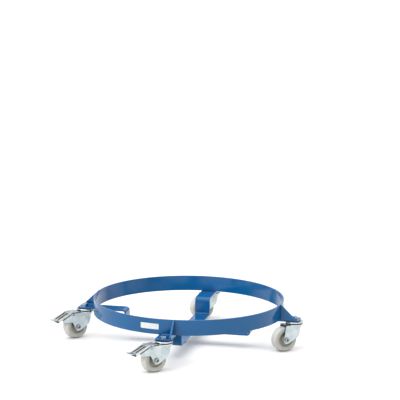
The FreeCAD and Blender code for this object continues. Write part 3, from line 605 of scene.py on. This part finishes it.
class Shape:
    """A mesh in the making, shaped with bmesh operators."""

    def __init__(self) -> None:
        """Starts empty."""
        self.draft = bmesh.new()

    @classmethod
    def of_node(cls, node: str) -> "Shape":
        """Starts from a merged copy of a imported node.

        Args:
            node: the node's name.

        Returns:
            The copy, with its flat faces joined.
        """
        shape = cls()
        shape.draft.from_mesh(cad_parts[node].data)
        bmesh.ops.remove_doubles(shape.draft, verts=shape.draft.verts, dist=MERGE_GAP)
        bmesh.ops.dissolve_limit(shape.draft, angle_limit=FLAT_ANGLE, use_dissolve_boundaries=False,
                                 verts=shape.draft.verts, edges=shape.draft.edges)
        return shape

    def outline(self, points: Iterable[Spot]) -> list[bmesh.types.BMVert]:
        """Draws one flat face.

        Args:
            points: its corners in order.

        Returns:
            The corners' vertices.
        """
        corners = [self.draft.verts.new(point) for point in points]
        self.draft.faces.new(corners)
        return corners

    def round_corners(self, corners: Sequence[bmesh.types.BMVert], radius: float, segments: int = 4) -> None:
        """Rounds corners of a flat face."""
        bmesh.ops.bevel(self.draft, geom=list(corners), offset=radius, offset_type="OFFSET",
                        segments=segments, profile=0.5, affect="VERTICES", clamp_overlap=False, material=-1)

    def spin(self, axis: Spot, angle: float, steps: int, drift: Spot = (0.0, 0.0, 0.0)) -> None:
        """Sweeps all that is drawn about an axis through the origin.

        Args:
            axis: the axis of the turn.
            angle: the whole turn, in radians.
            steps: how many copies are joined.
            drift: a shift added at each step.
        """
        # A full turn has no ends, so the drawn face goes and its outline alone is swept
        closed = math.isclose(angle, math.tau)
        if closed:
            bmesh.ops.delete(self.draft, geom=list(self.draft.faces), context="FACES_ONLY")
        geometry = [*self.draft.verts, *self.draft.edges, *self.draft.faces]
        bmesh.ops.spin(self.draft, geom=geometry, cent=(0.0, 0.0, 0.0), axis=axis, dvec=drift, angle=angle,
                       steps=steps, use_merge=closed, use_duplicate=False)
        bmesh.ops.remove_doubles(self.draft, verts=self.draft.verts, dist=MERGE_GAP)

    def soften(self, width: float, segments: int = 2) -> None:
        """Rounds every sharp edge.

        Args:
            width: how far the rounding reaches from the edge.
            segments: how many faces it has.
        """
        joined = [edge for edge in self.draft.edges if edge.is_manifold]
        sharp = [edge for edge in joined if edge.calc_face_angle() > SHARP_ANGLE]
        bmesh.ops.bevel(self.draft, geom=sharp, offset=width, offset_type="OFFSET", segments=segments,
                        profile=0.5, affect="EDGES", clamp_overlap=False, material=-1)

    def move(self, place: Matrix) -> None:
        """Turns and shifts the whole shape."""
        bmesh.ops.transform(self.draft, matrix=place, verts=self.draft.verts)

    def mark_upward(self, name: str, low: float, high: float) -> None:
        """Marks each face by how far it looks up.

        Args:
            name: the mark's name.
            low: upward part of the normal below which the mark is nought.
            high: upward part of the normal above which it is one.
        """
        self.draft.normal_update()
        layer = self.draft.faces.layers.float.new(name)
        for face in self.draft.faces:
            face[layer] = min(1.0, max(0.0, (face.normal.z - low) / (high - low)))

    def mend(self) -> None:
        """Points every face outwards."""
        bmesh.ops.recalc_face_normals(self.draft, faces=self.draft.faces)

    def piece(self, name: str, body: str, finish: Finish, *nodes: str) -> bpy.types.Object:
        """Makes the shape an object of the scene.

        Args:
            name: the piece's name.
            body: the body that it moves with.
            finish: its surface finish.
            nodes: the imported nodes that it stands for.

        Returns:
            The finished piece.
        """
        for edge in self.draft.edges:
            edge.smooth = not edge.is_manifold or edge.calc_face_angle() < SHARP_ANGLE
        for face in self.draft.faces:
            face.smooth = True
        finish.prepare(self)
        mesh = bpy.data.meshes.new(name)
        self.draft.to_mesh(mesh)
        self.draft.free()
        mesh.materials.append(finish.material())
        item = bpy.data.objects.new(name, mesh)
        bpy.context.scene.collection.objects.link(item)
        even = item.modifiers.new("even_shading", "WEIGHTED_NORMAL")
        even.keep_sharp = True
        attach(item, body)
        if nodes:
            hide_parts(*nodes)
        LOG.info("%s: %d faces, rides on %s", name, len(mesh.polygons), body)
        return item


def dress_node(node: str, finish: Finish) -> None:
    """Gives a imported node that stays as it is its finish.

    Args:
        node: the node's name.
        finish: its surface finish.
    """
    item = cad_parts[node]
    item.data.materials.clear()
    item.data.materials.append(finish.material())
    LOG.info("%s: dressed as packed", node)


@dataclass
class RingBand:
    """The ring: flat bar rolled on edge, with rounded rims."""

    wall: float = 0.005
    height: float = 0.050
    rim_round: float = 0.0008
    steps: int = 288
    finish: Finish = field(default_factory=PowderCoat)

    def build(self) -> None:
        """Spins the bar's section about the ring's axis."""
        shape = Shape()
        inner = RING_OUTER - self.wall
        corners = shape.outline([
            (inner, 0.0, 0.0),
            (RING_OUTER, 0.0, 0.0),
            (RING_OUTER, 0.0, self.height),
            (inner, 0.0, self.height),
        ])
        shape.round_corners(corners, self.rim_round)
        shape.spin(RING_AXIS, math.tau, self.steps)
        shape.mend()
        shape.piece("ring_band_rolled", "frame", self.finish, "ring_band")


@dataclass
class CrossFrame:
    """The cranked cross bars and the gussets between them and the ring."""

    edge_round: float = 0.0006
    bars: tuple[str, ...] = ("bar_front_rear", "bar_left", "bar_right")
    finish: Finish = field(default_factory=PowderCoat)

    def build(self) -> None:
        """Copies each plate with its rolled or cut edges rounded."""
        for node in (*self.bars, *(f"gusset_{arm.label}" for arm in Arm)):
            shape = Shape.of_node(node)
            shape.soften(self.edge_round)
            shape.piece(f"{node}_eased", "frame", self.finish, node)


@dataclass
class WeldBeads:
    """Fillet welds with rippled faces, along the ring's foot and the gussets' feet."""

    leg: float = 0.0045
    bulge: float = 0.00045
    face_parts: int = 4
    half_width: float = 0.018
    gusset_face: float = 0.019
    gusset_length: float = 0.0415
    ripple_pitch: float = 0.0021
    ripple_share: float = 0.08
    ripple_drift: float = 0.0007
    drift_pitch: float = 0.0095
    step: float = 0.0005
    end_taper: float = 0.002
    end_share: float = 0.35
    finish: Finish = field(default_factory=PowderCoat)

    def section(self) -> list[tuple[float, float]]:
        """The bead's section: two legs and a slightly rounded face.

        Returns:
            Its corners, along and above the bar's top.
        """
        face = []
        for index in range(self.face_parts + 1):
            share = index / self.face_parts
            swell = self.bulge * math.sin(math.pi * share)
            face.append((self.leg * (1 - share) + swell, self.leg * share + swell))
        return [(0.0, 0.0), *face]

    def ripple(self, along: float, length: float) -> float:
        """How full the bead is at a place along it.

        Args:
            along: distance from the bead's start.
            length: the bead's whole length.

        Returns:
            A share of the full section.
        """
        drift = self.ripple_drift * math.sin(math.tau * along / self.drift_pitch)
        wave = abs(math.sin(math.pi * (along + drift) / self.ripple_pitch))
        from_end = min(along, length - along) / self.end_taper
        end = min(1.0, self.end_share + (1 - self.end_share) * from_end)
        return (1 - self.ripple_share * (1 - wave)) * end

    def ring_bead(self) -> Shape:
        """Sweeps a bead round the ring's foot, on the right arm.

        Returns:
            The bead.
        """
        shape = Shape()
        shape.outline([(RING_OUTER + out, 0.0, up) for out, up in self.section()])
        half_angle = math.asin(self.half_width / RING_OUTER)
        length = 2 * half_angle * RING_OUTER
        shape.spin(RING_AXIS, 2 * half_angle, round(length / self.step))
        for vertex in shape.draft.verts:
            turn = math.atan2(vertex.co.y, vertex.co.x)
            root = Vector((math.cos(turn), math.sin(turn), 0.0)) * RING_OUTER
            vertex.co = root + (vertex.co - root) * self.ripple(turn * RING_OUTER, length)
        shape.move(Matrix.Rotation(-half_angle, 4, "Z"))
        return shape

    def gusset_bead(self, side: int) -> Shape:
        """Sweeps a bead along the foot of the right arm's gusset.

        Args:
            side: which edge of the bar the gusset stands on.

        Returns:
            The bead.
        """
        shape = Shape()
        start = RING_OUTER + self.leg
        wall = side * self.gusset_face
        shape.outline([(start, wall - side * out, up) for out, up in self.section()])
        steps = round(self.gusset_length / self.step)
        shape.spin((1.0, 0.0, 0.0), 0.0, steps, (self.gusset_length / steps, 0.0, 0.0))
        for vertex in shape.draft.verts:
            root = Vector((vertex.co.x, wall, 0.0))
            fullness = self.ripple(vertex.co.x - start, self.gusset_length)
            vertex.co = root + (vertex.co - root) * fullness
        return shape

    def build(self) -> None:
        """Lays both beads on every arm."""
        for arm in Arm:
            beads = {"ring": self.ring_bead(), "gusset": self.gusset_bead(arm.side)}
            for kind, shape in beads.items():
                shape.move(arm.turn())
                shape.mend()
                shape.piece(f"weld_{kind}_{arm.label}", "frame", self.finish)
        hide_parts("frame_welds")


@dataclass
class Label:
    """A blank film label with rounded corners, bent round the ring."""

    glue_line: float = 0.0001
    thickness: float = 0.0004
    width: float = 0.062
    low: float = 0.016
    height: float = 0.018
    corner: float = 0.002
    heading: float = 259.4
    steps: int = 31
    finish: Finish = field(default_factory=LabelFilm)

    def build(self) -> None:
        """Sweeps the label's height round the ring and gives it its thickness."""
        shape = Shape()
        back = RING_OUTER + self.glue_line
        levels = (self.low, self.low + self.height)
        ends = [shape.draft.verts.new((back, 0.0, level)) for level in levels]
        shape.draft.edges.new(ends)
        angle = self.width / back
        shape.spin(RING_AXIS, angle, self.steps)
        corners = [vertex for vertex in shape.draft.verts if len(vertex.link_edges) == 2]
        shape.round_corners(corners, self.corner)
        shape.mend()
        bmesh.ops.solidify(shape.draft, geom=shape.draft.faces, thickness=self.thickness)
        shape.move(Matrix.Rotation(math.radians(self.heading) - angle / 2, 4, "Z"))
        shape.mend()
        shape.piece("label_film", "frame", self.finish, "label_plate")


@dataclass
class Wheel:
    """A moulded wheel: crowned tread, flat rim with a fine step, dished sides and long hub."""

    radius: float = 0.040
    crown: float = 0.00025
    half_tread: float = 0.015
    tread_round: float = 0.004
    tread_fade: float = 0.010
    dish_rim: float = 0.025
    dish_floor: float = 0.022
    step_radius: float = 0.034
    step_depth: float = 0.0005
    half_web: float = 0.007
    hub_radius: float = 0.013
    half_hub: float = 0.0165
    bore: float = 0.00658
    bore_chamfer: float = 0.0008
    small_round: float = 0.001
    fine_round: float = 0.0004
    round_parts: int = 5
    steps: int = 128
    finish: Finish = field(default_factory=Polyamide)

    def side_points(self) -> list[tuple[float, float, float]]:
        """One side of the wheel's section, from the bore out to the tread's edge.

        Returns:
            Radius, distance from the middle plane and corner radius of each corner.
        """
        inset = self.half_tread - self.step_depth
        return [
            (self.bore, self.half_hub - self.bore_chamfer, 0.0),
            (self.bore + self.bore_chamfer, self.half_hub, 0.0),
            (self.hub_radius, self.half_hub, self.small_round),
            (self.hub_radius, self.half_web, self.small_round),
            (self.dish_floor, self.half_web, self.small_round),
            (self.dish_rim, inset, self.small_round),
            (self.step_radius - self.step_depth, inset, self.fine_round),
            (self.step_radius, self.half_tread, self.fine_round),
            (self.radius - self.crown, self.half_tread, self.tread_round),
        ]

    def mark_tread(self, shape: Shape) -> None:
        """Marks each point from nought on the wheel's sides to one on the tread, which is painted lighter.

        Args:
            shape: the wheel, with its axle on the Y axis.
        """
        layer = shape.draft.verts.layers.float.new(TREAD_MARK)
        for vertex in shape.draft.verts:
            reach = math.hypot(vertex.co.x, vertex.co.z) - (self.radius - self.tread_fade)
            vertex[layer] = min(1.0, max(0.0, reach / self.tread_fade))

    def build(self, place: Matrix, label: str) -> None:
        """Spins the section about the axle.

        Args:
            place: the wheel's middle and heading.
            label: the arm's name.
        """
        shape = Shape()
        near = self.side_points()
        far = [(reach, -across, rounding) for reach, across, rounding in reversed(near)]
        section = [*near, (self.radius, 0.0, 0.0), *far]
        corners = shape.outline([(reach, across, 0.0) for reach, across, _ in section])
        for radius in sorted({rounding for _, _, rounding in section if rounding > 0.0}):
            group = [corner for corner, (_, _, rounding) in zip(corners, section) if rounding == radius]
            shape.round_corners(group, radius, self.round_parts)
        shape.spin((0.0, 1.0, 0.0), math.tau, self.steps)
        shape.mend()
        self.mark_tread(shape)
        shape.move(place)
        shape.piece(f"{label}_wheel_moulded", f"{label}_roller", self.finish, f"{label}_wheel")


@dataclass
class Castor:
    """One swivel castor under an arm, with or without a pedal brake."""

    arm: Arm
    arm_radius: float = 0.350
    trail: float = 0.038
    sheet_round: float = 0.0005
    bolt_round: float = 0.0003
    wheel: Wheel = field(default_factory=Wheel)
    sheet: Finish = field(default_factory=ZincPlate)
    fastener: Finish = field(default_factory=BoltZinc)
    axle: Finish = field(default_factory=AxleSteel)
    balls: Finish = field(default_factory=BallSteel)
    pedal: Finish = field(default_factory=PedalZinc)
    block: Finish = field(default_factory=BrakeRubber)

    def place(self) -> Matrix:
        """Foot of the swivel axis on the floor, turned to the castor's heading."""
        foot = self.arm.turn() @ Vector((self.arm_radius, 0.0, FLOOR_LEVEL))
        return Matrix.Translation(foot) @ Matrix.Rotation(math.radians(self.arm.heading), 4, "Z")

    def ease(self, part: str, body: str, width: float, finish: Finish) -> None:
        """Copies one node of the castor with its edges rounded.

        Args:
            part: the node's name without the arm.
            body: the body that it moves with.
            width: how far the rounding reaches.
            finish: its surface finish.
        """
        node = f"{self.arm.label}_{part}"
        shape = Shape.of_node(node)
        shape.soften(width)
        shape.piece(f"{node}_eased", body, finish, node)

    def build(self) -> None:
        """Makes the head, fork, fasteners, wheel and, where there is one, the brake."""
        label = self.arm.label
        swivel = f"{label}_swivel"
        self.ease("castor_head", "frame", self.sheet_round, self.sheet)
        self.ease("fork", swivel, self.sheet_round, self.sheet)
        for part in ("castor_bolt", "castor_nut"):
            self.ease(part, "frame", self.bolt_round, self.fastener)
        for part in ("axle_bolt", "axle_nut"):
            self.ease(part, swivel, self.bolt_round, self.axle)
        dress_node(f"{label}_king_pin", self.sheet)
        dress_node(f"{label}_axle_tube", self.axle)
        dress_node(f"{label}_swivel_balls", self.balls)
        hub = Vector((self.trail, 0.0, self.wheel.radius))
        self.wheel.build(self.place() @ Matrix.Translation(hub), label)
        if self.arm.braked:
            brake = f"{label}_brake"
            self.ease("brake_pedal", brake, self.sheet_round, self.pedal)
            self.ease("pedal_pin", swivel, self.bolt_round, self.axle)
            self.ease("brake_block", brake, self.sheet_round, self.block)


@dataclass(frozen=True)
class Softbox:
    """A square soft lamp that faces the origin."""

    name: str
    energy: float
    size: float
    place: Spot

    def build(self) -> None:
        """Hangs the lamp."""
        lamp = bpy.data.lights.new(self.name, "AREA")
        lamp.energy = self.energy
        lamp.size = self.size
        item = bpy.data.objects.new(self.name, lamp)
        item.location = self.place
        item.rotation_mode = "QUATERNION"
        item.rotation_quaternion = (-Vector(self.place)).to_track_quat("-Z", "Y")
        bpy.context.scene.collection.objects.link(item)


@dataclass
class Studio:
    """Pale floor, soft light and the camera."""

    white: Colour = (1.0, 1.0, 1.0)
    floor_half: float = 40.0
    floor_colour: Colour = (1.0, 0.985, 0.965)
    floor_roughness: float = 0.7
    bounce_colour: Colour = (0.42, 0.415, 0.40)
    backdrop_start: float = 0.9
    backdrop_end: float = 2.5
    near_glow: float = 0.05
    backdrop_glow: float = 0.25
    world_light: float = 0.91
    lamps: tuple[Softbox, ...] = (
        Softbox("overhead_softbox", energy=74.0, size=4.5, place=(-0.9, -0.6, 3.4)),
        Softbox("side_softbox", energy=72.0, size=2.5, place=(-2.8, -4.0, 1.6)),
    )
    focal_pixels: float = 2600.0
    image_pixels: float = 400.0
    sensor: float = 36.0
    view_depth: float = 200.0
    distance: float = 8.4
    azimuth: float = 12.6
    elevation: float = 11.5
    roll: float = 0.5
    look_at: Spot = (0.0327, 0.0073, 0.373)

    @staticmethod
    def seen(tree: bpy.types.NodeTree) -> Socket:
        """Tells sight from plain light.

        Args:
            tree: the node graph to add to.

        Returns:
            One for the camera and for what shows in gloss or through glass, nought for soft light.
        """
        path = tree.nodes.new("ShaderNodeLightPath")
        sight = path.outputs["Is Camera Ray"]
        for ray in ("Is Glossy Ray", "Is Transmission Ray"):
            either = tree.nodes.new("ShaderNodeMath")
            either.operation = "MAXIMUM"
            tree.links.new(sight, either.inputs[0])
            tree.links.new(path.outputs[ray], either.inputs[1])
            sight = either.outputs[0]
        return sight

    def backdrop(self, graph: Graph, sight: Socket) -> Socket:
        """Fades the far floor into a white backdrop.

        Args:
            graph: the floor's graph.
            sight: one where the floor is seen, nought where it only sheds light.

        Returns:
            The glow that is added to the floor, faint near the object.
        """
        fade = graph.spread(graph.radius(), self.backdrop_start, self.backdrop_end, self.near_glow,
                            self.backdrop_glow)
        fade.node.interpolation_type = "SMOOTHSTEP"
        glow = graph.tree.nodes.new("ShaderNodeMath")
        glow.operation = "MULTIPLY"
        graph.link(fade, glow.inputs[0])
        graph.link(sight, glow.inputs[1])
        return glow.outputs["Value"]

    def build_floor(self) -> None:
        """Lays the floor: white to the eye and in reflections, greyer as a source of light from below."""
        plane = bmesh.new()
        bmesh.ops.create_grid(plane, x_segments=1, y_segments=1, size=self.floor_half)
        bmesh.ops.translate(plane, vec=(0.0, 0.0, FLOOR_LEVEL), verts=plane.verts)
        mesh = bpy.data.meshes.new("floor")
        plane.to_mesh(mesh)
        plane.free()
        graph = Graph("PaleFloor")
        sight = self.seen(graph.tree)
        graph.drive("Base Color", graph.blend(sight, self.bounce_colour, self.floor_colour))
        graph.drive("Emission Strength", self.backdrop(graph, sight))
        graph.shader.inputs["Emission Color"].default_value = (*self.white, 1.0)
        graph.hold(Roughness=self.floor_roughness)
        mesh.materials.append(graph.material)
        floor = bpy.data.objects.new("floor", mesh)
        bpy.context.scene.collection.objects.link(floor)

    def build_light(self) -> None:
        """Sets a white surround and the soft lamps."""
        world = bpy.data.worlds.new("Surround")
        world.use_nodes = True
        bpy.context.scene.world = world
        tree = world.node_tree
        surround = tree.nodes["Background"]
        surround.inputs["Color"].default_value = (*self.white, 1.0)
        level = tree.nodes.new("ShaderNodeMapRange")
        level.inputs["To Min"].default_value = self.world_light
        level.inputs["To Max"].default_value = 1.0
        tree.links.new(self.seen(tree), level.inputs["Value"])
        tree.links.new(level.outputs["Result"], surround.inputs["Strength"])
        for lamp in self.lamps:
            lamp.build()

    def build_camera(self) -> None:
        """Stands the camera at the viewing angle."""
        turn, lift = math.radians(self.azimuth), math.radians(self.elevation)
        back = Vector((math.sin(turn) * math.cos(lift), -math.cos(turn) * math.cos(lift), math.sin(lift)))
        data = bpy.data.cameras.new("camera")
        data.sensor_width = self.sensor
        data.lens = self.focal_pixels / self.image_pixels * self.sensor
        data.clip_end = self.view_depth
        item = bpy.data.objects.new("camera", data)
        item.rotation_mode = "QUATERNION"
        level = (-back).to_track_quat("-Z", "Y")
        item.rotation_quaternion = level @ Matrix.Rotation(math.radians(self.roll), 3, "Z").to_quaternion()
        item.location = Vector(self.look_at) + back * self.distance
        bpy.context.scene.collection.objects.link(item)
        bpy.context.scene.camera = item

    def build(self) -> None:
        """Makes the floor, the light and the camera."""
        self.build_floor()
        self.build_light()
        self.build_camera()
        bpy.context.scene.view_settings.view_transform = "Standard"


def main() -> None:
    """Builds every sub-assembly in order and reports each piece."""
    logging.basicConfig(level=logging.INFO, format="%(name)s %(message)s")
    RingBand().build()
    CrossFrame().build()
    WeldBeads().build()
    Label().build()
    for arm in Arm:
        Castor(arm).build()
    dress_node("castor_washers", BoltZinc())
    Studio().build()


if __name__ == "__main__":
    main()
